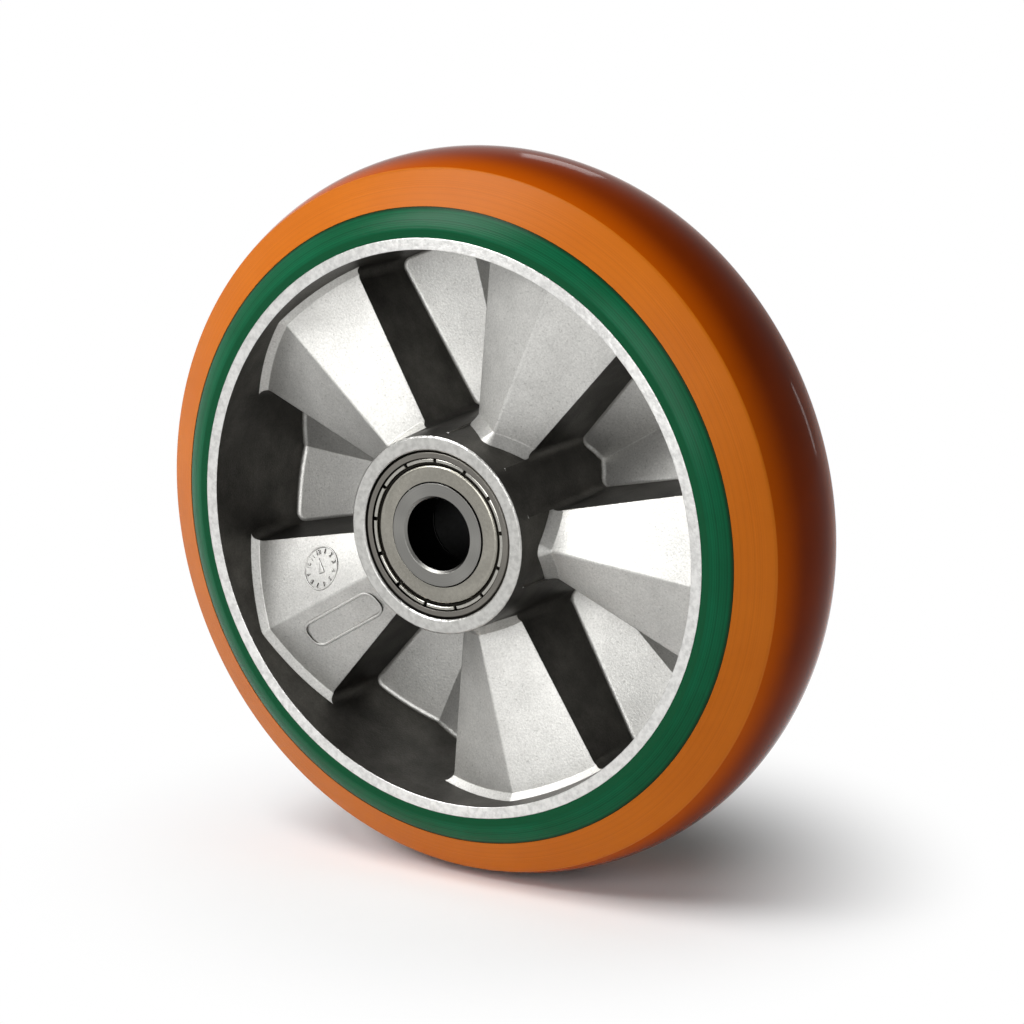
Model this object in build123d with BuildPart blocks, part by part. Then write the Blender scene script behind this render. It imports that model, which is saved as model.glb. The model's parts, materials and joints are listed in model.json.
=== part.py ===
from build123d import *
from math import radians, tan
import os

# A heavy-duty castor wheel: a cast aluminium centre with a corrugated web, a soft cushion layer
# and a hard crowned tread bonded round it, and two shielded ball bearings with a spacer sleeve.
# Millimetres. The origin is the wheel's centre, the axle runs along Y, and -Y is the front.

# Tyre
wheel_diameter = 203.0
tread_thickness = 12.9
cushion_thickness = 8.0
crown_width = 32.0
crown_drop = 3.35
bond_line_inset = 3.2
cushion_step = 0.15
cushion_flat = 2.2
cushion_face_inset = 0.1
cushion_bulge = 0.28

# Cast centre
rim_width = 50.0
hub_length = 60.0
hub_diameter = 55.0
rim_lip_thickness = 3.2
rim_draft = 4.3
hub_draft = 1.5
machined_edge = 0.4
block_count = 5
block_phase = -4.7
block_half_angle = 18.45
ridge_height_at_hub = 19.6
ridge_height_at_rim = 18.5
ridge_drop_at_hub = 7.4
ridge_drop_at_rim = 7.5
ridge_wall_at_hub = 3.9
ridge_wall_at_rim = 5.1
edge_wall_at_hub = 2.9
edge_wall_at_rim = 3.9
pocket_draft = 4.0
hub_fillet_strip = 2.6
rim_fillet_strip = 1.7
pocket_corner_radius = 3.0
pocket_floor_radius = 1.2
ridge_rounding = 0.8

# Bearings and spacer
bearing_bore = 20.0
bearing_diameter = 47.0
bearing_width = 14.0
bearing_recess = 0.5
ring_corner = 0.8
ball_count = 8
ball_diameter = 7.938
ball_clearance = 0.01
groove_conformity = 0.52
inner_land_diameter = 28.6
outer_land_diameter = 38.4
shield_seat_diameter = 42.6
shield_groove_depth = 0.25
shield_thickness = 0.4
shield_inset = 0.3
shield_depth = 1.7
shield_gap = 0.35
shield_flat_width = 4.2
shield_bead_width = 0.7
shield_notches = 13
notch_width = 0.45
cage_thickness = 0.7
cage_land_gap = 0.9
cage_pocket_clearance = 0.08
rivet_radius = 0.8
rivet_stand = 0.4
seat_shoulder_height = 3.0
spacer_bore_clearance = 0.15
spacer_wall = 3.3

# Radii and heights that follow from the sizes above
wheel_radius = wheel_diameter / 2
bond_radius = wheel_radius - tread_thickness
rim_radius = bond_radius - cushion_thickness
rim_mouth_radius = rim_radius - rim_lip_thickness
hub_radius = hub_diameter / 2
half_rim = rim_width / 2
half_hub = hub_length / 2
bond_height = half_rim - bond_line_inset
ring_outer_radius = bearing_diameter / 2
ring_inner_radius = bearing_bore / 2
half_ring = bearing_width / 2
bearing_centre = half_hub - bearing_recess - half_ring
seat_bottom = bearing_centre - half_ring
pitch_radius = (ring_outer_radius + ring_inner_radius) / 2
ball_radius = ball_diameter / 2
groove_radius = groove_conformity * ball_diameter
block_pitch = 360 / block_count
pocket_half_angle = block_pitch / 2 - block_half_angle

parts_folder = "parts"
os.makedirs(parts_folder, exist_ok=True)


def keep(builder, name):
    builder.part.label = name
    export_step(builder.part, f"{parts_folder}/{name}.step")


def both_halves(points):
    """The points of a profile's upper half, then the same points mirrored below its middle."""
    return points + [(r, -h) for r, h in reversed(points)]


# Tread: a crowned running face with a straight bevel turned down each side to the bond line
shoulder_radius = wheel_radius - crown_drop
half_crown = crown_width / 2
with BuildPart() as tread:
    with BuildSketch(Plane.XY):
        with BuildLine():
            Line((bond_radius, -bond_height), (bond_radius, bond_height))
            Line((bond_radius, bond_height), (shoulder_radius, half_crown))
            ThreePointArc((shoulder_radius, half_crown), (wheel_radius, 0), (shoulder_radius, -half_crown))
            Line((shoulder_radius, -half_crown), (bond_radius, -bond_height))
        make_face()
    revolve(axis=Axis.Y)
keep(tread, "tread")

# Cushion layer: a flat band beside the rim, then a slightly bulged bevel up to the bond line
cushion_height = half_rim - cushion_face_inset
cushion_edge = bond_height - cushion_step
cushion_turn = rim_radius + cushion_flat
bulge_point = (
    (cushion_turn + bond_radius) / 2 + cushion_bulge,
    (cushion_height + cushion_edge) / 2 + cushion_bulge,
)
with BuildPart() as cushion_layer:
    with BuildSketch(Plane.XY):
        with BuildLine():
            Line((rim_radius, -cushion_height), (rim_radius, cushion_height))
            Line((rim_radius, cushion_height), (cushion_turn, cushion_height))
            ThreePointArc((cushion_turn, cushion_height), bulge_point, (bond_radius, cushion_edge))
            Line((bond_radius, cushion_edge), (bond_radius, -cushion_edge))
            ThreePointArc(
                (bond_radius, -cushion_edge), (bulge_point[0], -bulge_point[1]), (cushion_turn, -cushion_height)
            )
            Line((cushion_turn, -cushion_height), (rim_radius, -cushion_height))
        make_face()
    revolve(axis=Axis.Y)
keep(cushion_layer, "cushion_layer")

# The annular space between the drafted hub barrel and the drafted rim wall, open to the front.
# It is taller than the hub at its mouth and stops inside the far rim lip
mouth_overrun = 10.0
lip_margin = 1.0
clear_height = half_hub + mouth_overrun
floor_limit = lip_margin - half_rim


def hub_wall(height):
    return hub_radius + (half_hub - height) * tan(radians(hub_draft))


def rim_wall(height):
    return rim_mouth_radius - (half_rim - height) * tan(radians(rim_draft))


with BuildPart() as front_annulus:
    with BuildSketch(Plane(origin=(0, 0, 0), x_dir=(1, 0, 0), z_dir=(0, 0, -1))):
        with BuildLine():
            Polyline(
                (hub_wall(floor_limit), floor_limit),
                (rim_wall(floor_limit), floor_limit),
                (rim_wall(clear_height), clear_height),
                (hub_wall(clear_height), clear_height),
                close=True,
            )
        make_face()
    revolve(axis=Axis.Y)

# Web heights change evenly from the hub barrel to the rim wall. The reliefs are lofted between two
# sections that stand a little past those walls, and each block's relief runs a little over the
# pockets beside it
reach_margin = 3.0
overlap_angle = 2.0
near_zero = 0.01
inner_reach = hub_radius - reach_margin
outer_reach = rim_radius + reach_margin


def between(at_hub, at_rim, distance):
    share = (distance - hub_radius) / (rim_mouth_radius - hub_radius)
    return at_hub + (at_rim - at_hub) * share


def section_plane(distance):
    """A plane across the web at this distance from the axle, with its height axis to the front."""
    return Plane(origin=(distance, 0, 0), x_dir=(0, 0, 1), z_dir=(1, 0, 0))


# Relief over one block: its floor is the block's two facets, which meet at a rounded radial ridge
# and turn up into the hub barrel and the rim wall. The floor meets each wall in three arcs, one
# for each facet and one for the ridge
arcs_of_floor = 3
with BuildPart() as block_relief:
    for reach in (inner_reach, outer_reach):
        ridge = between(ridge_height_at_hub, ridge_height_at_rim, reach)
        drop = between(ridge_drop_at_hub, ridge_drop_at_rim, reach)
        facet_slope = drop / (reach * tan(radians(block_half_angle)))
        half_width = reach * tan(radians(block_half_angle + overlap_angle))
        side_height = ridge - facet_slope * half_width
        with BuildSketch(section_plane(reach)):
            with BuildLine():
                Polyline(
                    (0, ridge),
                    (half_width, side_height),
                    (half_width, clear_height),
                    (-half_width, clear_height),
                    (-half_width, side_height),
                    close=True,
                )
            make_face()
    loft(ruled=True)
    add(front_annulus.part, mode=Mode.INTERSECT)
    middle_edges = block_relief.edges().filter_by_position(Axis.Z, -near_zero, near_zero)
    fillet(middle_edges.sort_by(Axis.Y)[-1], ridge_rounding)
    rim_face = block_relief.faces().filter_by(GeomType.CONE).sort_by(Axis.X)[-1]
    chamfer(rim_face.edges().sort_by(Axis.Y)[-arcs_of_floor:], rim_fillet_strip)
    hub_face = block_relief.faces().filter_by(GeomType.CONE).sort_by(Axis.X)[0]
    chamfer(hub_face.edges().sort_by(Axis.Y)[-arcs_of_floor:], hub_fillet_strip)

# Relief of one pocket: drafted side walls down to a floor that folds along its middle. The walls
# lean in from the block edges, and the floor is about as deep as the blocks are high
wall_lean = tan(radians(pocket_draft))
with BuildPart() as pocket_relief:
    for reach in (inner_reach, outer_reach):
        ridge = between(ridge_height_at_hub, ridge_height_at_rim, reach)
        drop = between(ridge_drop_at_hub, ridge_drop_at_rim, reach)
        block_edge = ridge - drop
        facet_slope = drop / (reach * tan(radians(block_half_angle)))
        fold = -(ridge - between(ridge_wall_at_hub, ridge_wall_at_rim, reach))
        floor_half_width = reach * tan(radians(pocket_half_angle)) - 2 * block_edge * wall_lean
        facet_there = ridge - facet_slope * floor_half_width
        floor_edge = -(facet_there - between(edge_wall_at_hub, edge_wall_at_rim, reach))
        top_half_width = floor_half_width + (clear_height - floor_edge) * wall_lean
        with BuildSketch(section_plane(reach)):
            with BuildLine():
                Polyline(
                    (0, fold),
                    (floor_half_width, floor_edge),
                    (top_half_width, clear_height),
                    (-top_half_width, clear_height),
                    (-floor_half_width, floor_edge),
                    close=True,
                )
            make_face()
    loft(ruled=True)
    add(front_annulus.part, mode=Mode.INTERSECT)
    tall_edges = pocket_relief.edges().filter_by(lambda edge: edge.bounding_box().size.Y > half_rim)
    fillet(tall_edges, pocket_corner_radius)
    floor_faces = pocket_relief.faces().sort_by(Axis.Y)[-2:]
    fold_edge = floor_faces.edges().filter_by_position(Axis.Z, -near_zero, near_zero)
    fillet(floor_faces.edges() - fold_edge, pocket_floor_radius)

# All the relief of the front face. Turning by a negative angle about Y turns from +X towards +Z
with BuildPart() as front_relief:
    for index in range(block_count):
        block_angle = block_phase + index * block_pitch
        with Locations(Location((0, 0, 0), (0, -block_angle, 0))):
            add(block_relief.part)
        with Locations(Location((0, 0, 0), (0, -block_angle - block_pitch / 2, 0))):
            add(pocket_relief.part)

# The rear relief is the front one mirrored, with blocks behind the front pockets
with BuildPart() as rear_relief:
    with Locations(Location((0, 0, 0), (0, -block_pitch / 2, 0))):
        add(mirror(front_relief.part, about=Plane.XZ, mode=Mode.PRIVATE))

# Wheel centre: hub barrel, web and rim in one casting, then turned at the seats, hub faces and rim
shoulder_bore_radius = ring_outer_radius - seat_shoulder_height
centre_section = [
    (shoulder_bore_radius, seat_bottom),
    (ring_outer_radius, seat_bottom),
    (ring_outer_radius, half_hub - machined_edge),
    (ring_outer_radius + machined_edge, half_hub),
    (hub_radius - machined_edge, half_hub),
    (hub_wall(half_hub - machined_edge), half_hub - machined_edge),
    (hub_wall(half_rim), half_rim),
    (rim_radius, half_rim),
]
with BuildPart() as wheel_centre:
    with BuildSketch(Plane.XY):
        with BuildLine():
            Polyline(*both_halves(centre_section), close=True)
        make_face()
    revolve(axis=Axis.Y)
    add(front_relief.part, mode=Mode.SUBTRACT)
    add(rear_relief.part, mode=Mode.SUBTRACT)
keep(wheel_centre, "wheel_centre")

# Spacer sleeve between the two inner rings
spacer_bore_radius = ring_inner_radius + spacer_bore_clearance
with BuildPart() as spacer_sleeve:
    with BuildSketch(Plane.XZ.offset(-seat_bottom)):
        Circle(spacer_bore_radius + spacer_wall)
        Circle(spacer_bore_radius, mode=Mode.SUBTRACT)
    extrude(amount=2 * seat_bottom)
keep(spacer_sleeve, "spacer_sleeve")

# Bearing sections, each in the radius and the height above the bearing's middle plane
inner_land_radius = inner_land_diameter / 2
outer_land_radius = outer_land_diameter / 2
shield_seat_radius = shield_seat_diameter / 2
shelf_height = half_ring - shield_depth
inner_race_centre = pitch_radius - ball_radius - ball_clearance + groove_radius
outer_race_centre = pitch_radius + ball_radius + ball_clearance - groove_radius
undercut = shield_depth / 4

outer_ring_section = [
    (outer_land_radius, shelf_height),
    (shield_seat_radius, shelf_height),
    (shield_seat_radius + shield_groove_depth, shelf_height + undercut),
    (shield_seat_radius + shield_groove_depth, shelf_height + 2 * undercut),
    (shield_seat_radius, shelf_height + 3 * undercut),
    (shield_seat_radius, half_ring),
    (ring_outer_radius - ring_corner, half_ring),
    (ring_outer_radius, half_ring - ring_corner),
]
inner_ring_section = [
    (ring_inner_radius, half_ring - ring_corner),
    (ring_inner_radius + ring_corner, half_ring),
    (inner_land_radius, half_ring),
]

# Pressed shield: a flat ring beside the inner ring, a channel, and a bead crimped into the groove
sheet = shield_thickness / 2
flat_level = half_ring - shield_inset - sheet
channel_level = shelf_height + sheet
bead_outer = shield_seat_radius
bead_inner = bead_outer - shield_bead_width - shield_thickness
flat_inner = inner_land_radius + shield_gap
flat_outer = flat_inner + shield_flat_width
shield_path = [
    (flat_inner, flat_level),
    (flat_outer, flat_level),
    (flat_outer + 2 * sheet, channel_level),
    (bead_inner - sheet, channel_level),
    (bead_inner, flat_level),
    (bead_outer - 2 * sheet, flat_level),
    (bead_outer, shelf_height + 1.5 * undercut),
]

cage_inner_radius = inner_land_radius + cage_land_gap
cage_outer_radius = outer_land_radius - cage_land_gap
cage_pocket_radius = ball_radius + cage_pocket_clearance
cage_dome_radius = cage_pocket_radius + cage_thickness
pocket_length = 2 * (cage_outer_radius - cage_inner_radius)
ball_pitch = 360 / ball_count

for position, side in (("front", -1), ("rear", 1)):
    middle = side * bearing_centre
    section = Plane(origin=(0, middle, 0), x_dir=(1, 0, 0), z_dir=(0, 0, side))
    facing = Plane(origin=(0, middle, 0), x_dir=(1, 0, 0), z_dir=(0, side, 0))

    with BuildPart() as outer_ring:
        with BuildSketch(section):
            with BuildLine():
                Polyline(*both_halves(outer_ring_section), close=True)
            make_face()
            with Locations((outer_race_centre, 0)):
                Circle(groove_radius, mode=Mode.SUBTRACT)
        revolve(axis=Axis.Y)
    keep(outer_ring, f"{position}_outer_ring")

    with BuildPart() as inner_ring:
        with BuildSketch(section):
            with BuildLine():
                Polyline(*both_halves(inner_ring_section), close=True)
            make_face()
            with Locations((inner_race_centre, 0)):
                Circle(groove_radius, mode=Mode.SUBTRACT)
        revolve(axis=Axis.Y)
    keep(inner_ring, f"{position}_inner_ring")

    # Ball centres lie on the pitch circle in the bearing's middle plane, with a rivet between balls
    with BuildPart() as cage_rivets:
        with BuildSketch(facing.offset(-cage_thickness - rivet_stand)):
            with PolarLocations(pitch_radius, ball_count, start_angle=ball_pitch / 2):
                Circle(rivet_radius)
        extrude(amount=2 * (cage_thickness + rivet_stand))
    keep(cage_rivets, f"{position}_cage_rivets")

    for half_name, half_side in (("outer", 1), ("inner", -1)):
        outward = Plane(origin=(0, middle, 0), x_dir=(1, 0, 0), z_dir=(0, side * half_side, 0))

        with BuildPart() as shield:
            half_section = Plane(origin=(0, middle, 0), x_dir=(1, 0, 0), z_dir=(0, 0, side * half_side))
            with BuildSketch(half_section):
                with BuildLine() as shield_line:
                    Polyline(*shield_path)
                trace(shield_line.edges(), line_width=shield_thickness)
            revolve(axis=Axis.Y)
            with BuildSketch(outward.offset(half_ring)):
                with PolarLocations(bead_inner + sheet, shield_notches):
                    Rectangle(shield_bead_width + shield_thickness, notch_width)
            extrude(amount=-shield_inset - shield_thickness, mode=Mode.SUBTRACT)
        keep(shield, f"{position}_{half_name}_shield")

        # Half a ribbon cage: a flat ring pressed up over each ball, joined to its twin at the rivets
        with BuildPart() as cage_half:
            with BuildSketch(outward):
                Circle(cage_outer_radius)
                Circle(cage_inner_radius, mode=Mode.SUBTRACT)
            extrude(amount=cage_thickness)
            with Locations(outward):
                with PolarLocations(pitch_radius, ball_count):
                    Cylinder(cage_dome_radius, pocket_length, rotation=(0, 90, 0))
            with BuildSketch(outward):
                Circle(cage_outer_radius)
                Circle(cage_inner_radius, mode=Mode.SUBTRACT)
            extrude(amount=cage_dome_radius, mode=Mode.INTERSECT)
            with Locations(outward):
                with PolarLocations(pitch_radius, ball_count):
                    Cylinder(cage_pocket_radius, pocket_length, rotation=(0, 90, 0), mode=Mode.SUBTRACT)
            with BuildSketch(outward):
                with PolarLocations(pitch_radius, ball_count, start_angle=ball_pitch / 2):
                    Circle(rivet_radius)
            extrude(amount=cage_thickness, mode=Mode.SUBTRACT)
        keep(cage_half, f"{position}_cage_{half_name}_half")

    with Locations(facing):
        ball_places = PolarLocations(pitch_radius, ball_count).locations
    for number, place in enumerate(ball_places, start=1):
        with BuildPart() as ball:
            with Locations(place):
                Sphere(ball_radius)
        keep(ball, f"{position}_ball_{number}")
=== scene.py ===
import bpy
import bmesh
import json
import math
from mathutils import Matrix, Vector


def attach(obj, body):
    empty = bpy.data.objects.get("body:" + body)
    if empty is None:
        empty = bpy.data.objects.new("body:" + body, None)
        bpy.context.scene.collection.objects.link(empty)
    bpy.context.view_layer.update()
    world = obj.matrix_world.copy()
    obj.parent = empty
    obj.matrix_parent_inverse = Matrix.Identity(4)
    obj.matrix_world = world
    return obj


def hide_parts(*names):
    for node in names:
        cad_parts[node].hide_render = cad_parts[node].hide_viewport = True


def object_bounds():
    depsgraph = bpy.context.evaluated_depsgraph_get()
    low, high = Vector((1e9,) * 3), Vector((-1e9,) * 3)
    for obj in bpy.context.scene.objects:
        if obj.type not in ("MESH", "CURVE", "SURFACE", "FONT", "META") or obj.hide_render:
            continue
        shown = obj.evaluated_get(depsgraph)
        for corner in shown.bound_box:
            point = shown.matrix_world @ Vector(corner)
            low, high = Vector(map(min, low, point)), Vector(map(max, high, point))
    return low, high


# Castor wheel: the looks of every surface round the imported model.
# The axle runs along Y and the front is -Y. Sizes in the dictionaries are millimetres and degrees,
# but those of the studio are metres.

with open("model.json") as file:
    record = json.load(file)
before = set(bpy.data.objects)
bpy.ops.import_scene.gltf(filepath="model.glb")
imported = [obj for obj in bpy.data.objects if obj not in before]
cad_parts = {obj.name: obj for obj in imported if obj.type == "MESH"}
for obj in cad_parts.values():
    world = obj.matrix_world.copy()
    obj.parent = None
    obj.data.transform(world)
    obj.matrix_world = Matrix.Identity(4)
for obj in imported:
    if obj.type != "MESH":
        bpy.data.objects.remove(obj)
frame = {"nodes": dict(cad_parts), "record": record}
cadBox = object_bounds()
mm = 0.001
print("frame loaded:", len(frame["nodes"]), "nodes")


# Helpers for working in edit mode

weldReach = 0.002  # points closer than this become one
cornerReach = 0.01  # how near to a corner's place its point is looked for


def deselectAll():
    if bpy.context.object and bpy.context.object.mode == "EDIT":
        bpy.ops.object.mode_set(mode="OBJECT")
    bpy.ops.object.select_all(action="DESELECT")


def makeActive(piece):
    deselectAll()
    piece.select_set(True)
    bpy.context.view_layer.objects.active = piece


def startEdit(piece, mode="VERT"):
    makeActive(piece)
    bpy.ops.object.mode_set(mode="EDIT")
    bpy.ops.mesh.select_mode(type=mode)
    bpy.ops.mesh.select_all(action="DESELECT")
    return bmesh.from_edit_mesh(piece.data)


def selectCorner(piece, spot):
    bpy.ops.mesh.select_all(action="DESELECT")
    bm = bmesh.from_edit_mesh(piece.data)
    for vert in bm.verts:
        vert.select = (vert.co - spot).length < cornerReach * mm
    bm.select_flush_mode()
    bmesh.update_edit_mesh(piece.data)


def closeShell():
    # Points that fall together become one, all faces turn outwards, and edit mode ends
    bpy.ops.mesh.select_all(action="SELECT")
    bpy.ops.mesh.remove_doubles(threshold=weldReach * mm)
    bpy.ops.mesh.normals_make_consistent(inside=False)
    bpy.ops.object.mode_set(mode="OBJECT")


def smoothByAngle(piece, degrees):
    makeActive(piece)
    bpy.ops.object.shade_smooth_by_angle(angle=math.radians(degrees))


def turned(name, outline, rounds, steps):
    # A closed outline of (radius, towards the front) corners, some rounded, then spun round the axle
    deselectAll()
    bpy.ops.mesh.primitive_circle_add(vertices=len(outline), radius=mm, fill_type="NOTHING")
    piece = bpy.context.object
    piece.name = name
    bm = startEdit(piece)
    bm.verts.ensure_lookup_table()
    for vert, (radius, forward) in zip(bm.verts, outline):
        vert.co = Vector((radius * mm, -forward * mm, 0))
    bmesh.update_edit_mesh(piece.data)
    for (radius, forward), rounding, segments in rounds:
        selectCorner(piece, Vector((radius * mm, -forward * mm, 0)))
        bpy.ops.mesh.bevel(offset=rounding * mm, segments=segments, affect="VERTICES")
    bpy.ops.mesh.select_all(action="SELECT")
    bpy.ops.mesh.spin(steps=steps, angle=2 * math.pi, center=(0, 0, 0), axis=(0, 1, 0))
    closeShell()
    return piece


def dress(piece, body, slot, *nodes):
    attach(piece, body)
    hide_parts(*nodes)


# Helpers for materials

noiseLow, noiseHigh = 0.3, 0.7  # most of a noise pattern lies between these
polyurethaneIor = 1.5


def linear(hexColour):
    channels = [int(hexColour[i:i + 2], 16) / 255 for i in (1, 3, 5)]
    return tuple(c / 12.92 if c <= 0.04045 else ((c + 0.055) / 1.055) ** 2.4 for c in channels) + (1.0,)


def newMaterial(name):
    material = bpy.data.materials.new(name)
    material.use_nodes = True
    material.node_tree.nodes.clear()
    return material, material.node_tree


def addNode(tree, kind, inputs=None, **settings):
    # A node with its settings. Each input is a value, another node's output, or a node whose only
    # output is meant.
    node = tree.nodes.new(kind)
    for key, value in settings.items():
        setattr(node, key, value)
    for name, value in (inputs or {}).items():
        socket = next(s for i, s in enumerate(node.inputs) if s.enabled and name in (i, s.name))
        if isinstance(value, bpy.types.Node):
            value = next(s for s in value.outputs if s.enabled)
        if isinstance(value, bpy.types.NodeSocket):
            tree.links.new(value, socket)
        else:
            socket.default_value = value
    return node


def fromAxle(tree, place):
    # How far a point is from the axle
    flat = addNode(tree, "ShaderNodeVectorMath", {0: place, 1: (1, 0, 1)}, operation="MULTIPLY")
    return addNode(tree, "ShaderNodeVectorMath", {0: flat}, operation="LENGTH")


def fromMiddle(tree, place):
    # How far a point is from the plane through the wheel's middle
    apart = addNode(tree, "ShaderNodeSeparateXYZ", {"Vector": place})
    return addNode(tree, "ShaderNodeMath", {0: apart.outputs["Y"]}, operation="ABSOLUTE")


def turningLines(tree, radius, pitch):
    # Rings left by a lathe tool, this many millimetres apart on average. The real ones are finer,
    # about 0.15 mm, and are drawn as coarse as they need to show.
    along = addNode(tree, "ShaderNodeMath", {0: radius, 1: 1 / (pitch * mm)}, operation="MULTIPLY")
    return addNode(tree, "ShaderNodeTexNoise", {"W": along, "Scale": 1.0, "Detail": 3.0, "Roughness": 0.65},
                   noise_dimensions="1D").outputs["Fac"]


def toned(tree, colour, pattern, darkest):
    # The colour, darker where the pattern is low
    tone = addNode(tree, "ShaderNodeMapRange", {"Value": pattern, "From Min": noiseLow,
                                                "From Max": noiseHigh, "To Min": darkest})
    return addNode(tree, "ShaderNodeMix", {"Factor": 1.0, "A": colour, "B": tone},
                   data_type="RGBA", blend_type="MULTIPLY")


def finishMaterial(tree, inputs):
    shader = addNode(tree, "ShaderNodeBsdfPrincipled", inputs)
    addNode(tree, "ShaderNodeOutputMaterial", {"Surface": shader})


# Tread: hard orange polyurethane, cast against a polished mould on the crown and turned on the bevels

tread = {
    "radius": 101.5, "shoulderRadius": 98.15, "shoulderForward": 16.0,
    "bondRadius": 88.6, "bondForward": 21.8, "crownPoints": 32, "steps": 360, "smoothAngle": 20,
    "shoulderRounding": 0.45, "shoulderSegments": 3, "bondRounding": 0.12, "bondSegments": 2,
    "bevelColour": "#c06813", "bevelDark": "#b25b0a", "bevelRoughness": 0.38, "bevelSpecular": 0.11,
    "toolPitch": 0.4, "toolDepth": 0.04, "toolTone": 0.87, "bevelCloud": 22.0,
    # crownPaintedGlow is lighter orange painted near the shoulders as a painted glow; the glow keys say
    # where it fades
    "crownPaintedGlow": "#ae4c03", "crownDeep": "#8a3404", "crownDark": "#662303",
    "crownRoughness": 0.1, "crownSpecular": 0.02, "paintedGlowFrom": 16.5, "paintedGlowTo": 5.0,
    "crownCloud": 40.0, "waveSize": 16.0, "waveDepth": 0.05,
    # A face is on the crown if it is outside the shoulder, give or take, and leans less than this
    "crownSlack": 0.05, "crownLean": 0.45,
}


def crownArc(radius, edgeRadius, edgeForward, count):
    # Points over the crown from the front shoulder to the rear one, without the two ends
    drop = radius - edgeRadius
    sweepRadius = (edgeForward ** 2 + drop ** 2) / (2 * drop)
    half = math.asin(edgeForward / sweepRadius)
    points = []
    for i in range(1, count):
        angle = half - 2 * half * i / count
        points.append((radius - sweepRadius + sweepRadius * math.cos(angle), sweepRadius * math.sin(angle)))
    return points


def turnedUrethane():
    # Turned polyurethane: matte, a little waxy, with fine rings from the tool
    material, tree = newMaterial("turned_orange_polyurethane")
    place = addNode(tree, "ShaderNodeTexCoord").outputs["Object"]
    rings = turningLines(tree, fromAxle(tree, place), tread["toolPitch"])
    cloud = addNode(tree, "ShaderNodeTexNoise", {"Vector": place, "Scale": 1 / (tread["bevelCloud"] * mm),
                                                 "Detail": 3.0})
    colour = addNode(tree, "ShaderNodeMix", {"Factor": cloud, "A": linear(tread["bevelDark"]),
                                             "B": linear(tread["bevelColour"])}, data_type="RGBA")
    colour = toned(tree, colour, rings, tread["toolTone"])
    normal = addNode(tree, "ShaderNodeBump", {"Height": rings, "Distance": tread["toolDepth"] * mm})
    finishMaterial(tree, {"Base Color": colour, "Roughness": tread["bevelRoughness"], "IOR": polyurethaneIor,
                          "Specular IOR Level": tread["bevelSpecular"], "Normal": normal})
    return material


def mouldedUrethane():
    # Polyurethane straight from a polished mould: glossy and clear, deep amber brown where it is thick,
    # and lighter orange near the shoulders, a painted glow that stands in for light shining through
    material, tree = newMaterial("moulded_orange_polyurethane")
    place = addNode(tree, "ShaderNodeTexCoord").outputs["Object"]
    cloud = addNode(tree, "ShaderNodeTexNoise", {"Vector": place, "Scale": 1 / (tread["crownCloud"] * mm),
                                                 "Detail": 2.0})
    deep = addNode(tree, "ShaderNodeMix", {"Factor": cloud, "A": linear(tread["crownDark"]),
                                           "B": linear(tread["crownDeep"])}, data_type="RGBA")
    # Painted glow: the colour lightens towards the shoulders, standing in for light shining through
    glow = addNode(tree, "ShaderNodeMapRange",
                   {"Value": fromMiddle(tree, place), "From Min": tread["paintedGlowTo"] * mm,
                    "From Max": tread["paintedGlowFrom"] * mm}, interpolation_type="SMOOTHSTEP")
    colour = addNode(tree, "ShaderNodeMix", {"Factor": glow, "A": deep, "B": linear(tread["crownPaintedGlow"])},
                     data_type="RGBA")
    wave = addNode(tree, "ShaderNodeTexNoise", {"Vector": place, "Scale": 1 / (tread["waveSize"] * mm),
                                                "Detail": 1.0})
    normal = addNode(tree, "ShaderNodeBump", {"Height": wave, "Distance": tread["waveDepth"] * mm})
    finishMaterial(tree, {"Base Color": colour, "Roughness": tread["crownRoughness"], "IOR": polyurethaneIor,
                          "Specular IOR Level": tread["crownSpecular"], "Normal": normal})
    return material


def makeTread():
    radius, forward = tread["shoulderRadius"], tread["shoulderForward"]
    bond = (tread["bondRadius"], tread["bondForward"])
    crown = crownArc(tread["radius"], radius, forward, tread["crownPoints"])
    outline = [bond, (radius, forward)] + crown + [(radius, -forward), (bond[0], -bond[1])]
    rounds = []
    for side in (1, -1):
        rounds.append(((radius, side * forward), tread["shoulderRounding"], tread["shoulderSegments"]))
        rounds.append(((bond[0], side * bond[1]), tread["bondRounding"], tread["bondSegments"]))
    piece = turned("tread_tyre", outline, rounds, tread["steps"])
    piece.data.materials.append(turnedUrethane())
    piece.data.materials.append(mouldedUrethane())
    for face in piece.data.polygons:
        outside = math.hypot(face.center.x, face.center.z) > (radius - tread["crownSlack"]) * mm
        face.material_index = 1 if outside and abs(face.normal.y) < tread["crownLean"] else 0
    smoothByAngle(piece, tread["smoothAngle"])
    dress(piece, "wheel", "orange_tread", "tread")
    print("tread made")


# Cushion: softer green polyurethane, a flat band beside the rim and a slightly bulged bevel

cushion = {
    "innerRadius": 80.6, "faceForward": 24.9, "turnRadius": 82.8, "edgeRadius": 88.6, "edgeForward": 21.65,
    "bulge": 0.28, "bevelPoints": 8, "turnRounding": 0.3, "turnSegments": 3, "steps": 360, "smoothAngle": 20,
    "colour": "#0c6240", "dark": "#094c2c", "band": "#0a4529", "roughness": 0.22, "specular": 0.08,
    # jointShadeColour is painted shade, a darker line in the small step beside the tread
    "jointShadeColour": "#14240f", "jointShadeFrom": 87.7, "jointShadeTo": 88.5,  # the darker line beside the tread
    "toolPitch": 0.45, "toolDepth": 0.05, "toolTone": 0.6, "cloud": 18.0,
}


def bulgedBevel(start, end, bulge, count):
    # Points between two corners on a shallow parabola that stands proud of the straight line
    run = Vector(end) - Vector(start)
    outward = Vector((-run.y, run.x)).normalized()
    if outward.y < 0:
        outward = -outward
    points = []
    for i in range(1, count):
        share = i / count
        points.append(tuple(Vector(start) + run * share + outward * bulge * 4 * share * (1 - share)))
    return points


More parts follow.
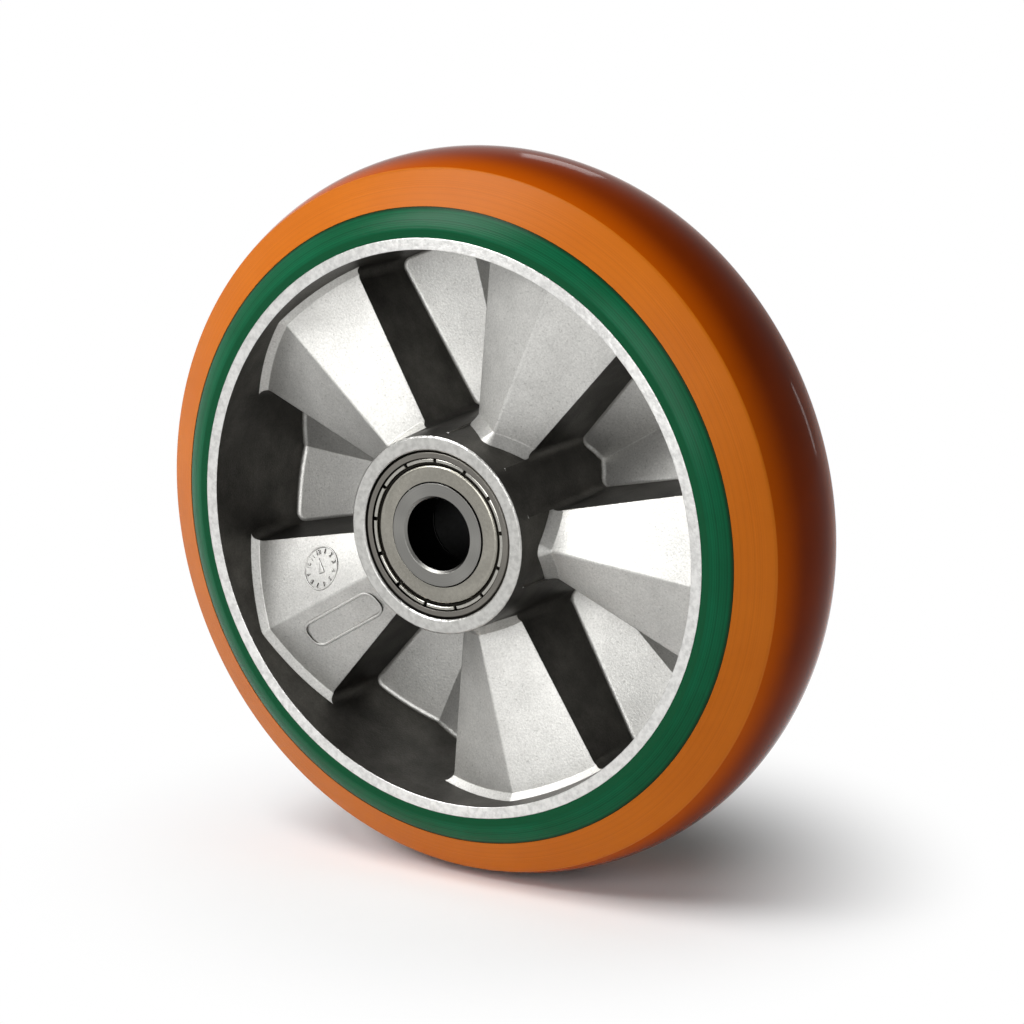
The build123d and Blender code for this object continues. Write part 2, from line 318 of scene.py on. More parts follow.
def greenUrethane():
    # Softer polyurethane, satin from the tool: darker and lighter rings on the bevel, a plain dark band, and
    # painted shade in the step beside the tread
    material, tree = newMaterial("turned_green_polyurethane")
    place = addNode(tree, "ShaderNodeTexCoord").outputs["Object"]
    radius = fromAxle(tree, place)
    rings = turningLines(tree, radius, cushion["toolPitch"])
    cloud = addNode(tree, "ShaderNodeTexNoise", {"Vector": place, "Scale": 1 / (cushion["cloud"] * mm),
                                                 "Detail": 3.0})
    colour = addNode(tree, "ShaderNodeMix", {"Factor": cloud, "A": linear(cushion["dark"]),
                                             "B": linear(cushion["colour"])}, data_type="RGBA")
    colour = toned(tree, colour, rings, cushion["toolTone"])
    # Painted shade: a darker line where the cushion steps down beside the tread
    jointShade = addNode(tree, "ShaderNodeMapRange", {"Value": radius, "From Min": cushion["jointShadeFrom"] * mm,
                                                 "From Max": cushion["jointShadeTo"] * mm})
    colour = addNode(tree, "ShaderNodeMix", {"Factor": jointShade, "A": colour,
                                             "B": linear(cushion["jointShadeColour"])}, data_type="RGBA")
    onBand = addNode(tree, "ShaderNodeMath", {0: cushion["turnRadius"] * mm, 1: radius},
                     operation="GREATER_THAN")
    colour = addNode(tree, "ShaderNodeMix", {"Factor": onBand, "A": colour, "B": linear(cushion["band"])},
                     data_type="RGBA")
    normal = addNode(tree, "ShaderNodeBump", {"Height": rings, "Distance": cushion["toolDepth"] * mm})
    finishMaterial(tree, {"Base Color": colour, "Roughness": cushion["roughness"], "IOR": polyurethaneIor,
                          "Specular IOR Level": cushion["specular"], "Normal": normal})
    return material


def makeCushion():
    inner, turn, face = cushion["innerRadius"], cushion["turnRadius"], cushion["faceForward"]
    edge = (cushion["edgeRadius"], cushion["edgeForward"])
    front = bulgedBevel((turn, face), edge, cushion["bulge"], cushion["bevelPoints"])
    rear = [(radius, -forward) for radius, forward in reversed(front)]
    outline = [(inner, face), (turn, face)] + front + [edge, (edge[0], -edge[1])] + rear
    outline += [(turn, -face), (inner, -face)]
    rounds = [((turn, side * face), cushion["turnRounding"], cushion["turnSegments"]) for side in (1, -1)]
    piece = turned("cushion_layer_green", outline, rounds, cushion["steps"])
    piece.data.materials.append(greenUrethane())
    smoothByAngle(piece, cushion["smoothAngle"])
    dress(piece, "wheel", "green_cushion", "cushion_layer")
    print("cushion made")


# Wheel centre: aluminium casting, shot blasted, then turned at the hub faces and the rim lips

casting = {
    "hubFace": 29.6, "lipFace": 24.9, "lipRadius": 77.2, "edgeRounding": 0.45,
    # wallShadeLight and wallShadeDark are painted shade on the walls that face across the axle, mottled at
    # random
    "colour": "#d8d7d3", "wallShadeLight": "#696762", "wallShadeDark": "#4b4946", "poreColour": "#5e5c58",
    "lipColour": "#e8e7e4", "hubColour": "#c8c7c3", "blastedRoughness": 0.5, "turnedRoughness": 0.32,
    "wallShadeFrom": 0.6, "wallShadeTo": 0.3,  # how squarely a face looks along the axle where it starts to be a wall
    # Sizes of the shot's dents, the stains and the pores, and how dark and deep each of them is
    "grain": 0.55, "grainTone": 0.76, "grainDepth": 0.1, "grainStrength": 0.7,
    "cloud": 11.0, "cloudTone": 0.84, "pore": 0.65, "poreStrength": 0.3,
    # The same for the tool's rings and the small nicks on the turned faces
    "toolPitch": 0.3, "toolDepth": 0.02, "nick": 1.6, "nickTone": 0.78, "nickDepth": 0.26,
    "lipBrush": 0.8,
}


def castAluminium():
    # Cast aluminium: grainy matt silver where the shot struck it, with painted shade on the walls, mottled
    # at random, and dark specks in its pores. Turned faces are brighter, with rings and small nicks.
    material, tree = newMaterial("cast_and_turned_aluminium")
    coordinates = addNode(tree, "ShaderNodeTexCoord")
    place = coordinates.outputs["Object"]
    radius = fromAxle(tree, place)
    sideways = fromMiddle(tree, place)

    # The hub's faces, the rim's lips, and the walls, told by the way they face
    onHub = addNode(tree, "ShaderNodeMath", {0: sideways, 1: casting["hubFace"] * mm},
                    operation="GREATER_THAN")
    onFace = addNode(tree, "ShaderNodeMath", {0: sideways, 1: casting["lipFace"] * mm},
                     operation="GREATER_THAN")
    pastLip = addNode(tree, "ShaderNodeMath", {0: radius, 1: casting["lipRadius"] * mm},
                      operation="GREATER_THAN")
    onLip = addNode(tree, "ShaderNodeMath", {0: onFace, 1: pastLip}, operation="MULTIPLY")
    machined = addNode(tree, "ShaderNodeMath", {0: onHub, 1: onLip}, operation="MAXIMUM")
    facing = addNode(tree, "ShaderNodeSeparateXYZ", {"Vector": coordinates.outputs["Normal"]})
    facing = addNode(tree, "ShaderNodeMath", {0: facing.outputs["Y"]}, operation="ABSOLUTE")
    # Painted shade: faces that look across the axle, the walls, take the darker colours
    wallShadeMask = addNode(tree, "ShaderNodeMapRange", {"Value": facing, "From Min": casting["wallShadeFrom"],
                                                "From Max": casting["wallShadeTo"]})

    # The skin of the casting, with painted shade on the walls
    grain = addNode(tree, "ShaderNodeTexNoise", {"Vector": place, "Scale": 1 / (casting["grain"] * mm),
                                                 "Detail": 4.0, "Roughness": 0.6})
    cloud = addNode(tree, "ShaderNodeTexNoise", {"Vector": place, "Scale": 1 / (casting["cloud"] * mm),
                                                 "Detail": 4.0, "Roughness": 0.6})
    pores = addNode(tree, "ShaderNodeTexNoise", {"Vector": place, "Scale": 1 / (casting["pore"] * mm),
                                                 "Detail": 2.0})
    patch = addNode(tree, "ShaderNodeMapRange", {"Value": cloud, "From Min": 0.25, "From Max": 0.75})
    wallShadeTone = addNode(tree, "ShaderNodeMix", {"Factor": patch, "A": linear(casting["wallShadeDark"]),
                                           "B": linear(casting["wallShadeLight"])}, data_type="RGBA")
    skin = addNode(tree, "ShaderNodeMix", {"Factor": wallShadeMask, "A": linear(casting["colour"]), "B": wallShadeTone},
                   data_type="RGBA")
    skin = toned(tree, skin, grain, casting["grainTone"])
    skin = toned(tree, skin, cloud, casting["cloudTone"])
    inPore = addNode(tree, "ShaderNodeMapRange", {"Value": pores, "From Min": 0.38, "From Max": 0.28,
                                                  "To Max": casting["poreStrength"]})
    skin = addNode(tree, "ShaderNodeMix", {"Factor": inPore, "A": skin, "B": linear(casting["poreColour"])},
                   data_type="RGBA")

    # The turned faces
    rings = turningLines(tree, radius, casting["toolPitch"])
    nicks = addNode(tree, "ShaderNodeTexNoise", {"Vector": place, "Scale": 1 / (casting["nick"] * mm),
                                                 "Detail": 3.0, "Roughness": 0.6})
    shine = addNode(tree, "ShaderNodeMapRange", {"Value": nicks, "From Min": 0.35, "From Max": 0.6,
                                                 "To Min": casting["nickTone"]})
    bright = addNode(tree, "ShaderNodeMix", {"Factor": onHub, "A": linear(casting["lipColour"]),
                                             "B": linear(casting["hubColour"])}, data_type="RGBA")
    bright = addNode(tree, "ShaderNodeMix", {"Factor": 1.0, "A": bright, "B": shine},
                     data_type="RGBA", blend_type="MULTIPLY")

    colour = addNode(tree, "ShaderNodeMix", {"Factor": machined, "A": skin, "B": bright}, data_type="RGBA")
    roughness = addNode(tree, "ShaderNodeMix", {"Factor": machined, "A": casting["blastedRoughness"],
                                                "B": casting["turnedRoughness"]}, data_type="FLOAT")
    rounded = addNode(tree, "ShaderNodeBevel", {"Radius": casting["edgeRounding"] * mm}, samples=6)
    blasted = addNode(tree, "ShaderNodeBump", {"Height": grain, "Distance": casting["grainDepth"] * mm,
                                               "Strength": casting["grainStrength"], "Normal": rounded})
    ringed = addNode(tree, "ShaderNodeBump", {"Height": rings, "Distance": casting["toolDepth"] * mm,
                                              "Normal": rounded})
    nicked = addNode(tree, "ShaderNodeBump", {"Height": nicks, "Distance": casting["nickDepth"] * mm,
                                              "Normal": ringed})
    normal = addNode(tree, "ShaderNodeMix", {"Factor": machined, "A": blasted, "B": nicked},
                     data_type="VECTOR")

    # The lathe's marks run round the axle and spread the light across them, on the lips alone
    brush = addNode(tree, "ShaderNodeMath", {0: onLip, 1: casting["lipBrush"]}, operation="MULTIPLY")
    along = addNode(tree, "ShaderNodeTangent", direction_type="RADIAL", axis="Y")
    finishMaterial(tree, {"Metallic": 1.0, "Base Color": colour, "Roughness": roughness, "Normal": normal,
                          "Anisotropic": brush, "Anisotropic Rotation": 0.25, "Tangent": along})
    return material


# Bearings: ground rings, pressed shields, polished balls and ribbon cages

bearings = {
    "ringColour": "#858480", "outerRingColour": "#77746e", "outerRingFrom": 20.6, "ringRoughness": 0.28,
    # boreShadeColour is painted shade, near black, on the bore's inner face
    "boreShadeColour": "#131211", "boreShadeTo": 10.1, "edgeRounding": 0.25,
    "toolPitch": 0.25, "toolDepth": 0.006, "toolTone": 0.85, "brush": 0.85,
    "shieldColour": "#96938a", "shieldRoughness": 0.26, "shieldScuff": 0.8, "shieldTone": 0.84,
    # recessShadeColour is painted shade, dark in the channel and in the notches
    "recessShadeColour": "#24231f", "channelShadeFrom": 19.3,
    # beadColourAndSheen is the bead's brighter steel, partly a painted highlight
    "beadColourAndSheen": "#aeaca5", "beadRoughness": 0.15, "beadFrom": 19.95,
    "notches": 13, "notchWidth": 0.8, "notchTurn": 9.23,
    # spacerShadeColour is near black, painted shade for the spacer deep inside the bore
    "cageColour": "#a7a49b", "cageRoughness": 0.3, "spacerShadeColour": "#131312", "spacerRoughness": 0.55,
    "scuff": 1.1, "scuffTone": 0.86, "scuffDepth": 0.008, "scuffSmoother": 0.05, "scuffRougher": 0.08,
    "ballColour": "#d4d4d4", "ballRoughness": 0.08, "ballWave": 2.0, "ballWaveDepth": 0.002,
}


def groundSteel():
    # Ground bearing steel: smooth grey with hair-fine rings, darker on the outer ring, and near black with
    # painted shade in the bore
    material, tree = newMaterial("ground_bearing_steel")
    place = addNode(tree, "ShaderNodeTexCoord").outputs["Object"]
    radius = fromAxle(tree, place)
    rings = turningLines(tree, radius, bearings["toolPitch"])
    onOuter = addNode(tree, "ShaderNodeMath", {0: radius, 1: bearings["outerRingFrom"] * mm},
                      operation="GREATER_THAN")
    # Painted shade: the bore turns near black
    inBoreShade = addNode(tree, "ShaderNodeMath", {0: bearings["boreShadeTo"] * mm, 1: radius},
                     operation="GREATER_THAN")
    colour = addNode(tree, "ShaderNodeMix", {"Factor": onOuter, "A": linear(bearings["ringColour"]),
                                             "B": linear(bearings["outerRingColour"])}, data_type="RGBA")
    colour = addNode(tree, "ShaderNodeMix", {"Factor": inBoreShade, "A": colour,
                                             "B": linear(bearings["boreShadeColour"])}, data_type="RGBA")
    colour = toned(tree, colour, rings, bearings["toolTone"])
    rounded = addNode(tree, "ShaderNodeBevel", {"Radius": bearings["edgeRounding"] * mm}, samples=6)
    normal = addNode(tree, "ShaderNodeBump", {"Height": rings, "Distance": bearings["toolDepth"] * mm,
                                              "Normal": rounded})
    along = addNode(tree, "ShaderNodeTangent", direction_type="RADIAL", axis="Y")
    finishMaterial(tree, {"Metallic": 1.0, "Base Color": colour, "Roughness": bearings["ringRoughness"],
                          "Normal": normal, "Anisotropic": bearings["brush"], "Tangent": along})
    return material


def pressedSteel(name, hexColour, roughness):
    # Pressed or drawn sheet steel: smooth from the roll, with a faint oily tint and fine scuffs
    material, tree = newMaterial(name)
    place = addNode(tree, "ShaderNodeTexCoord").outputs["Object"]
    scuff = addNode(tree, "ShaderNodeTexNoise", {"Vector": place, "Scale": 1 / (bearings["scuff"] * mm),
                                                 "Detail": 4.0, "Roughness": 0.6})
    colour = toned(tree, linear(hexColour), scuff, bearings["scuffTone"])
    rough = addNode(tree, "ShaderNodeMapRange", {"Value": scuff, "From Min": noiseLow, "From Max": noiseHigh,
                                                 "To Min": roughness - bearings["scuffSmoother"],
                                                 "To Max": roughness + bearings["scuffRougher"]})
    normal = addNode(tree, "ShaderNodeBump", {"Height": scuff, "Distance": bearings["scuffDepth"] * mm})
    finishMaterial(tree, {"Metallic": 1.0, "Base Color": colour, "Roughness": rough, "Normal": normal})
    return material


def shieldSteel():
    # Pressed shield: satin olive-grey disc, painted shade in its channel, and a rolled bead of brighter
    # steel, partly a painted highlight, cut by notches with painted shade in them
    material, tree = newMaterial("crimped_shield_steel")
    place = addNode(tree, "ShaderNodeTexCoord").outputs["Object"]
    radius = fromAxle(tree, place)
    scuff = addNode(tree, "ShaderNodeTexNoise",
                    {"Vector": place, "Scale": 1 / (bearings["shieldScuff"] * mm), "Detail": 4.0,
                     "Roughness": 0.6})
    # Painted shade in the channel beyond the disc
    inChannelShade = addNode(tree, "ShaderNodeMath", {0: radius, 1: bearings["channelShadeFrom"] * mm},
                       operation="GREATER_THAN")
    onBead = addNode(tree, "ShaderNodeMath", {0: radius, 1: bearings["beadFrom"] * mm},
                     operation="GREATER_THAN")
    apart = addNode(tree, "ShaderNodeSeparateXYZ", {"Vector": place})
    angle = addNode(tree, "ShaderNodeMath", {0: apart.outputs["Z"], 1: apart.outputs["X"]},
                    operation="ARCTAN2")
    angle = addNode(tree, "ShaderNodeMath", {0: angle, 1: math.radians(bearings["notchTurn"])},
                    operation="SUBTRACT")
    fromNotch = addNode(tree, "ShaderNodeMath", {0: angle, 1: math.pi / bearings["notches"]},
                        operation="PINGPONG")
    aside = addNode(tree, "ShaderNodeMath", {0: fromNotch, 1: radius}, operation="MULTIPLY")
    # Painted shade in the notches
    inNotchShade = addNode(tree, "ShaderNodeMath", {0: bearings["notchWidth"] / 2 * mm, 1: aside},
                      operation="GREATER_THAN")
    colour = addNode(tree, "ShaderNodeMix", {"Factor": inChannelShade, "A": linear(bearings["shieldColour"]),
                                             "B": linear(bearings["recessShadeColour"])}, data_type="RGBA")
    # The bead is brighter steel and partly a painted highlight
    bead = addNode(tree, "ShaderNodeMix", {"Factor": inNotchShade, "A": linear(bearings["beadColourAndSheen"]),
                                           "B": linear(bearings["recessShadeColour"])}, data_type="RGBA")
    colour = addNode(tree, "ShaderNodeMix", {"Factor": onBead, "A": colour, "B": bead}, data_type="RGBA")
    colour = toned(tree, colour, scuff, bearings["shieldTone"])
    rough = addNode(tree, "ShaderNodeMix", {"Factor": onBead, "A": bearings["shieldRoughness"],
                                            "B": bearings["beadRoughness"]}, data_type="FLOAT")
    normal = addNode(tree, "ShaderNodeBump", {"Height": scuff, "Distance": bearings["scuffDepth"] * mm})
    along = addNode(tree, "ShaderNodeTangent", direction_type="RADIAL", axis="Y")
    finishMaterial(tree, {"Metallic": 1.0, "Base Color": colour, "Roughness": rough, "Normal": normal,
                          "Anisotropic": bearings["brush"], "Tangent": along})
    return material


def polishedSteel():
    # Polished chrome steel: mirror bright, only a breath of unevenness
    material, tree = newMaterial("polished_ball_steel")
    place = addNode(tree, "ShaderNodeTexCoord").outputs["Object"]
    wave = addNode(tree, "ShaderNodeTexNoise", {"Vector": place, "Scale": 1 / (bearings["ballWave"] * mm),
                                                "Detail": 1.0})
    normal = addNode(tree, "ShaderNodeBump", {"Height": wave, "Distance": bearings["ballWaveDepth"] * mm})
    finishMaterial(tree, {"Metallic": 1.0, "Base Color": linear(bearings["ballColour"]),
                          "Roughness": bearings["ballRoughness"], "Normal": normal})
    return material


def dressNodes():
    # The nodes whose shape is right keep their mesh and take a finish each
    finishes = {
        "cast_aluminium": castAluminium(),
        "ring_steel": groundSteel(),
        "shield_steel": shieldSteel(),
        "cage_steel": pressedSteel("pressed_cage_steel", bearings["cageColour"], bearings["cageRoughness"]),
        # The spacer deep in the bore takes a near-black colour, painted shade
        "spacer_steel": pressedSteel("spacer_steel_painted_shade", bearings["spacerShadeColour"],
                                     bearings["spacerRoughness"]),
        "ball_steel": polishedSteel(),
    }
    slots = {part["node"]: part["material_slot"] for part in frame["record"]["subparts"]}
    for name, node in frame["nodes"].items():
        finish = finishes.get(slots[name])
        if finish is None:
            continue
        node.data.materials.clear()
        node.data.materials.append(finish)
    print("finishes given to the packed nodes")


# Outer shields: sheet pressed with a rolled edge, a grease channel and a bead, crimped down at each notch

shield = {
    "innerRadius": 14.65, "face": 29.2, "sheet": 0.4, "innerRounding": 0.15, "innerSegments": 2,
    "rollStart": 17.9, "rollRun": 1.3, "rollDrop": 0.75, "rollPoints": 8,
    "channelFace": 28.2, "channelInner": 19.36, "channelOuter": 19.86,
    "channelRounding": 0.12, "channelSegments": 2,
    "beadInner": 20.04, "beadOuter": 20.98, "beadRounding": 0.35, "beadSegments": 5,
    "tuckRadius": 21.42, "tuckFace": 28.35, "steps": 468, "smoothAngle": 35,
    "press": 0.25, "pressFrom": 0.02,  # the share of its height that a crimp keeps, and where that starts
}


def crimpNotches(piece, side):
    # The bead is pressed towards the channel floor where the tool closed it
    bm = startEdit(piece)
    pitch = 2 * math.pi / bearings["notches"]
    proud = (shield["channelFace"] + shield["pressFrom"]) * mm
    for vert in bm.verts:
        radius = math.hypot(vert.co.x, vert.co.z)
        angle = math.atan2(vert.co.z, vert.co.x) - math.radians(bearings["notchTurn"])
        aside = abs(angle - pitch * round(angle / pitch)) * radius
        onBead = radius > bearings["beadFrom"] * mm and abs(vert.co.y) > proud
        vert.select = onBead and aside < bearings["notchWidth"] / 2 * mm
    bm.select_flush_mode()
    bmesh.update_edit_mesh(piece.data)
    bpy.ops.transform.resize(value=(1, shield["press"], 1),
                             center_override=(0, -side * shield["channelFace"] * mm, 0))
    bpy.ops.object.mode_set(mode="OBJECT")


def rolledEdge():
    # Points from the flat disc over its rolled edge, on a quarter of an ellipse
    points = []
    for i in range(shield["rollPoints"] + 1):
        angle = math.pi / 2 * i / shield["rollPoints"]
        points.append((shield["rollStart"] + shield["rollRun"] * math.sin(angle),
                       shield["face"] - shield["rollDrop"] * (1 - math.cos(angle))))
    return points


def makeShield(name, side, node, finish):
    face, floor, sheet = shield["face"], shield["channelFace"], shield["sheet"]
    inner = (shield["innerRadius"], face)
    roll = rolledEdge()
    channel = [(shield["channelInner"], floor), (shield["channelOuter"], floor)]
    bead = [(shield["beadInner"], face), (shield["beadOuter"], face)]
    tuck = (shield["tuckRadius"], shield["tuckFace"])
    under = [(tuck[0] - sheet, tuck[1] - sheet / 2), (bead[1][0] - sheet / 2, face - sheet),
             (bead[0][0] + sheet, face - sheet), (channel[1][0] + sheet, floor - sheet),
             (channel[0][0] - sheet, floor - sheet), (roll[-1][0] - sheet, roll[-1][1] - sheet / 2),
             (roll[0][0], face - sheet), (inner[0], face - sheet)]
    outline = [inner] + roll + channel + bead + [tuck] + under
    rounds = [(inner, shield["innerRounding"], shield["innerSegments"])]
    rounds += [(corner, shield["channelRounding"], shield["channelSegments"]) for corner in channel]
    rounds += [(corner, shield["beadRounding"], shield["beadSegments"]) for corner in bead]
    outline = [(radius, side * forward) for radius, forward in outline]
    rounds = [((corner[0], side * corner[1]), rounding, segments) for corner, rounding, segments in rounds]
    piece = turned(name, outline, rounds, shield["steps"])
    crimpNotches(piece, side)
    piece.data.materials.append(finish)
    smoothByAngle(piece, shield["smoothAngle"])
    dress(piece, "wheel", "shield_steel", node)


def makeShields():
    finish = frame["nodes"]["front_outer_shield"].data.materials[0]
    makeShield("front_pressed_shield", 1, "front_outer_shield", finish)
    makeShield("rear_pressed_shield", -1, "rear_outer_shield", finish)
    print("shields made")


# Cast marks on one block: an empty frame on its lower facet and a dial of plain numbers on its upper one

marks = {
    "blockAngle": 211.27, "sink": 0.5, "softTop": 0.14, "softSegments": 2, "smoothAngle": 30,
    "frameReach": 52.0, "frameAside": 7.2, "frameLength": 27.0, "frameHeight": 8.6, "frameStand": 0.45,
    "frameCorner": 3.4, "frameSegments": 6, "frameWidth": 0.8,
    "dialReach": 51.6, "dialAside": -8.3, "dialRadius": 6.3, "dialLine": 0.45, "dialStand": 0.28,
    "dialSteps": 64, "numbers": 12, "numberRadius": 4.75, "numberSize": 1.9,
    "arrowLength": 3.0, "arrowWidth": 1.1,
    "topSlack": 0.01, "sharpAngle": 57.3,  # an edge this near the top and this sharp is made soft
    "castFrom": 10.0,  # how far before the wheel the line starts that finds the block's facet
}


def raiseFlat(piece, stand, softTop):
    # A flat outline gets its height above the facet, a root below it and a soft top edge
    startEdit(piece)
    bpy.ops.mesh.select_all(action="SELECT")
    bpy.ops.mesh.extrude_region_move(TRANSFORM_OT_translate={"value": (0, 0, (stand + marks["sink"]) * mm)})
    bpy.ops.mesh.select_all(action="SELECT")
    bpy.ops.transform.translate(value=(0, 0, -marks["sink"] * mm))
    bpy.ops.mesh.normals_make_consistent(inside=False)
    bpy.ops.mesh.select_all(action="DESELECT")
    bpy.ops.mesh.select_mode(type="EDGE")
    bm = bmesh.from_edit_mesh(piece.data)
    top = (stand - marks["topSlack"]) * mm
    sharp = math.radians(marks["sharpAngle"])
    for edge in bm.edges:
        edge.select = all(vert.co.z > top for vert in edge.verts) and edge.calc_face_angle(0) > sharp
    bmesh.update_edit_mesh(piece.data)
    bpy.ops.mesh.bevel(offset=softTop * mm, segments=marks["softSegments"], affect="EDGES")
    bpy.ops.object.mode_set(mode="OBJECT")


def hollowOut(piece, width):
    # A filled outline becomes a line of this width along its edge
    startEdit(piece, "FACE")
    bpy.ops.mesh.select_all(action="SELECT")
    bpy.ops.mesh.inset(thickness=width * mm, depth=0)
    bpy.ops.mesh.delete(type="FACE")
    bpy.ops.object.mode_set(mode="OBJECT")


def plainFrame():
    deselectAll()
    bpy.ops.mesh.primitive_plane_add(size=1)
    piece = bpy.context.object
    piece.name = "plain_frame"
    startEdit(piece)
    bpy.ops.mesh.select_all(action="SELECT")
    bpy.ops.transform.resize(value=(marks["frameLength"] * mm, marks["frameHeight"] * mm, 1))
    bpy.ops.mesh.bevel(offset=marks["frameCorner"] * mm, segments=marks["frameSegments"], affect="VERTICES")
    bpy.ops.object.mode_set(mode="OBJECT")
    hollowOut(piece, marks["frameWidth"])
    raiseFlat(piece, marks["frameStand"], marks["softTop"])
    return piece


def dialNumber(number):
    angle = math.pi / 2 - number * 2 * math.pi / marks["numbers"]
    reach = marks["numberRadius"] * mm
    height = (marks["dialStand"] + marks["sink"]) * mm
    spot = (reach * math.cos(angle), reach * math.sin(angle), height / 2 - marks["sink"] * mm)
    deselectAll()
    bpy.ops.object.text_add(location=spot, rotation=(0, 0, angle - math.pi / 2))
    text = bpy.context.object
    text.data.body = str(number)
    text.data.size = marks["numberSize"] * mm
    text.data.align_x = "CENTER"
    text.data.align_y = "CENTER"
    text.data.resolution_u = 2
    text.data.extrude = height / 2
    bpy.ops.object.convert(target="MESH")
    bpy.ops.object.transform_apply(location=True, rotation=True, scale=True)
    startEdit(text)
    closeShell()
    return text


def numberDial():
    deselectAll()
    bpy.ops.mesh.primitive_circle_add(vertices=marks["dialSteps"], radius=marks["dialRadius"] * mm,
                                      fill_type="NGON")
    ring = bpy.context.object
    ring.name = "number_dial"
    hollowOut(ring, marks["dialLine"])
    raiseFlat(ring, marks["dialStand"], marks["softTop"] / 2)
    deselectAll()
    bpy.ops.mesh.primitive_circle_add(vertices=3, radius=marks["arrowLength"] * mm, fill_type="NGON")
    arrow = bpy.context.object
    startEdit(arrow)
    bpy.ops.mesh.select_all(action="SELECT")
    bpy.ops.transform.resize(value=(marks["arrowWidth"] / marks["arrowLength"], 1, 1))
    bpy.ops.object.mode_set(mode="OBJECT")
    raiseFlat(arrow, marks["dialStand"], marks["softTop"] / 2)
    numbers = [dialNumber(number) for number in range(1, marks["numbers"] + 1)]
    makeActive(ring)
    for piece in [arrow] + numbers:
        piece.select_set(True)
    bpy.ops.object.join()
    return ring


def seatOnBlock(piece, reach, aside):
    # The mark lies on the block's facet: its place and tilt come from the casting straight behind it
    angle = math.radians(marks["blockAngle"])
    outward = Vector((math.cos(angle), 0, math.sin(angle)))
    across = Vector((-math.sin(angle), 0, math.cos(angle)))
    before = outward * reach * mm + across * aside * mm
    before += Vector((0, cadBox[0][1] - marks["castFrom"] * mm, 0))
    spot, normal = frame["nodes"]["wheel_centre"].ray_cast(before, Vector((0, 1, 0)))[1:3]
    right = (-outward - normal * normal.dot(-outward)).normalized()
    turn = Matrix((right, normal.cross(right), normal)).transposed().to_4x4()
    makeActive(piece)
    piece.matrix_world = Matrix.Translation(spot) @ turn
    bpy.ops.object.transform_apply(location=True, rotation=True, scale=True)


def makeMarks():
    blasted = frame["nodes"]["wheel_centre"].data.materials[0]
    for piece, reach, aside in ((plainFrame(), marks["frameReach"], marks["frameAside"]),
                                (numberDial(), marks["dialReach"], marks["dialAside"])):
        seatOnBlock(piece, reach, aside)
        piece.data.materials.append(blasted)
        smoothByAngle(piece, marks["smoothAngle"])
        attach(piece, "wheel")
    print("marks made")


# Studio, in metres: pale floor and background, soft lamps, and a camera at the photograph's angle

studio = {
    "floorSize": 8.0, "floorColour": "#f4f4f4",
    "nearGlow": 0.0, "farGlow": 1.0, "glowStarts": 0.05, "glowFull": 0.14,
    "horizon": 0.8, "overhead": 0.16, "fadeStarts": 0.3, "fadeEnds": 0.75, "worldLight": 0.2,
    "cameraPlace": (0.6868, -1.0466, 0.3258), "cameraRight": (0.83792, 0.54580, 0.0),
    "cameraUp": (-0.13747, 0.21104, 0.96776), "lens": 165.06, "sensor": 36.0, "nearClip": 0.05,
    # Name, place, width, height and watts; each lamp looks at the wheel's middle
    "lamps": (
        ("key_lamp", (-0.93, -1.02, 1.04), 0.7, 0.6, 15.5),
        ("front_lamp", (0.3, -1.65, 0.55), 0.9, 0.9, 12.5),
        ("top_lamp", (-0.5, -0.5, 1.35), 0.6, 0.6, 12.0),
        ("back_lamp", (-0.62, 1.28, 0.66), 0.26, 0.26, 0.65),
        ("strip_lamp", (0.45, 1.3, 0.13), 0.04, 0.26, 0.3),
    ),
}


def seenDirectly(tree):
    # 1 for what the camera sees straight on, in a reflection or through something clear
    path = addNode(tree, "ShaderNodeLightPath")
    seen = addNode(tree, "ShaderNodeMath",
                   {0: path.outputs["Is Camera Ray"], 1: path.outputs["Is Glossy Ray"]}, operation="MAXIMUM")
    return addNode(tree, "ShaderNodeMath", {0: seen, 1: path.outputs["Is Transmission Ray"]},
                   operation="MAXIMUM")


def makeFloor():
    # The far floor turns to plain white for what is seen directly, and the near one keeps the shadow
    deselectAll()
    bpy.ops.mesh.primitive_plane_add(size=studio["floorSize"], location=(0, 0, -tread["radius"] * mm))
    floor = bpy.context.object
    floor.name = "studio_floor"
    material, tree = newMaterial("matte_white_floor")
    place = addNode(tree, "ShaderNodeTexCoord").outputs["Object"]
    away = addNode(tree, "ShaderNodeVectorMath", {0: place}, operation="LENGTH")
    glow = addNode(tree, "ShaderNodeMapRange",
                   {"Value": away, "From Min": studio["glowStarts"], "From Max": studio["glowFull"],
                    "To Min": studio["nearGlow"], "To Max": studio["farGlow"]},
                   interpolation_type="SMOOTHSTEP")
    share = addNode(tree, "ShaderNodeMath", {0: glow, 1: seenDirectly(tree)}, operation="MULTIPLY")
    light = addNode(tree, "ShaderNodeEmission", {"Color": (1, 1, 1, 1), "Strength": 1.0})
    matte = addNode(tree, "ShaderNodeBsdfDiffuse", {"Color": linear(studio["floorColour"])})
    both = addNode(tree, "ShaderNodeMixShader", {0: share, 1: matte, 2: light})
    addNode(tree, "ShaderNodeOutputMaterial", {"Surface": both})
    floor.data.materials.append(material)


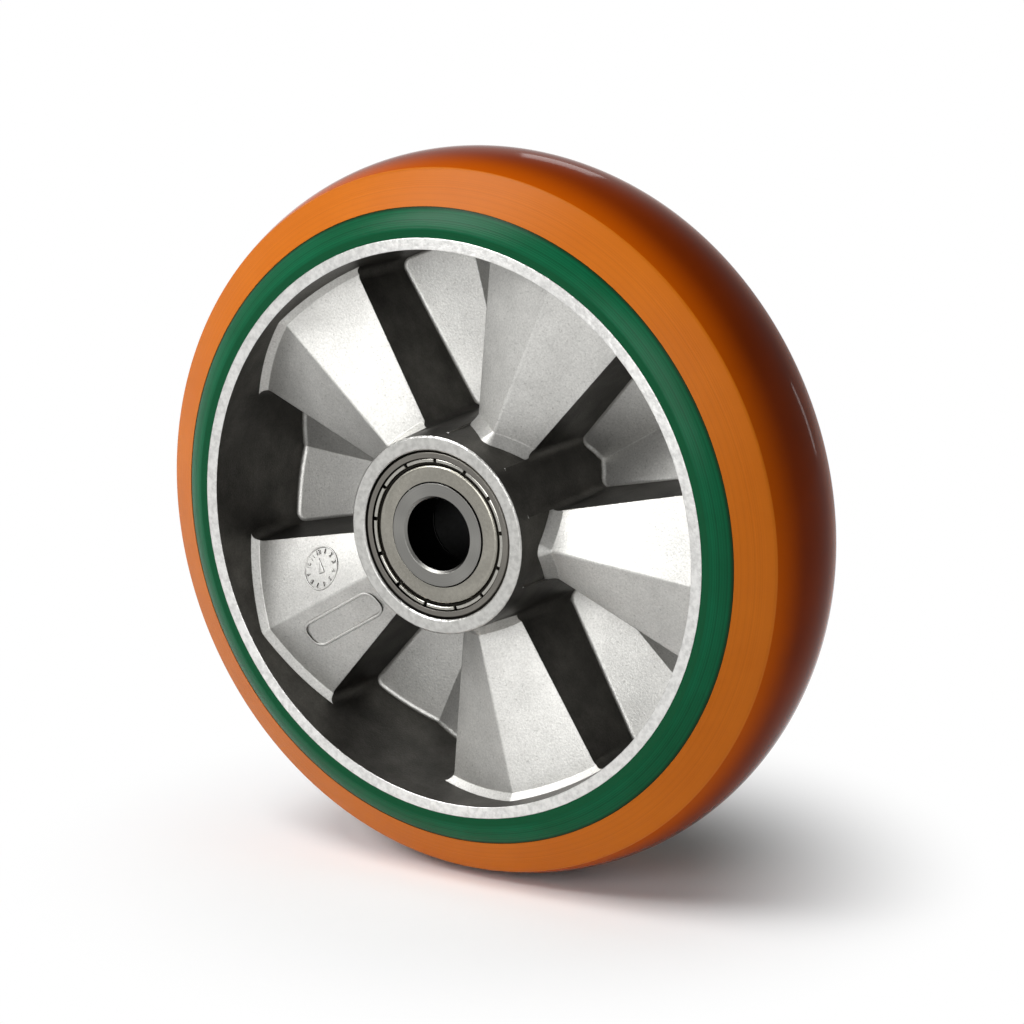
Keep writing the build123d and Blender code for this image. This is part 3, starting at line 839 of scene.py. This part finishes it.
def makeWorld():
    # White round the horizon and dim overhead, so that metal has something dark to show
    world = bpy.data.worlds.new("studio_world")
    bpy.context.scene.world = world
    world.use_nodes = True
    tree = world.node_tree
    tree.nodes.clear()
    towards = addNode(tree, "ShaderNodeTexCoord").outputs["Generated"]
    height = addNode(tree, "ShaderNodeSeparateXYZ", {"Vector": towards}).outputs["Z"]
    sky = addNode(tree, "ShaderNodeMapRange",
                  {"Value": height, "From Min": studio["fadeStarts"], "From Max": studio["fadeEnds"],
                   "To Min": studio["horizon"], "To Max": studio["overhead"]},
                  interpolation_type="SMOOTHSTEP")
    share = addNode(tree, "ShaderNodeMapRange",
                    {"Value": seenDirectly(tree), "To Min": studio["worldLight"]})
    strength = addNode(tree, "ShaderNodeMath", {0: sky, 1: share}, operation="MULTIPLY")
    glow = addNode(tree, "ShaderNodeBackground", {"Color": (1, 1, 1, 1), "Strength": strength})
    addNode(tree, "ShaderNodeOutputWorld", {"Surface": glow})


def makeLamps():
    for name, place, width, height, power in studio["lamps"]:
        deselectAll()
        bpy.ops.object.light_add(type="AREA", location=place)
        lamp = bpy.context.object
        lamp.name = name
        lamp.data.shape = "RECTANGLE"
        lamp.data.size = width
        lamp.data.size_y = height
        lamp.data.energy = power
        lamp.visible_camera = False
        lamp.rotation_mode = "QUATERNION"
        lamp.rotation_quaternion = (-Vector(place)).to_track_quat("-Z", "Y")


def makeCamera():
    deselectAll()
    bpy.ops.object.camera_add(location=studio["cameraPlace"])
    camera = bpy.context.object
    camera.name = "photo_camera"
    right, up = Vector(studio["cameraRight"]), Vector(studio["cameraUp"])
    back = right.cross(up)
    camera.rotation_mode = "QUATERNION"
    camera.rotation_quaternion = Matrix((right, up, back)).transposed().to_quaternion()
    camera.data.lens = studio["lens"]
    camera.data.sensor_width = studio["sensor"]
    camera.data.clip_start = studio["nearClip"]
    bpy.context.scene.camera = camera


def makeStudio():
    makeFloor()
    makeWorld()
    makeLamps()
    makeCamera()
    bpy.context.scene.view_settings.view_transform = "Standard"
    print("studio made")


makeTread()
makeCushion()
dressNodes()
makeShields()
makeMarks()
makeStudio()
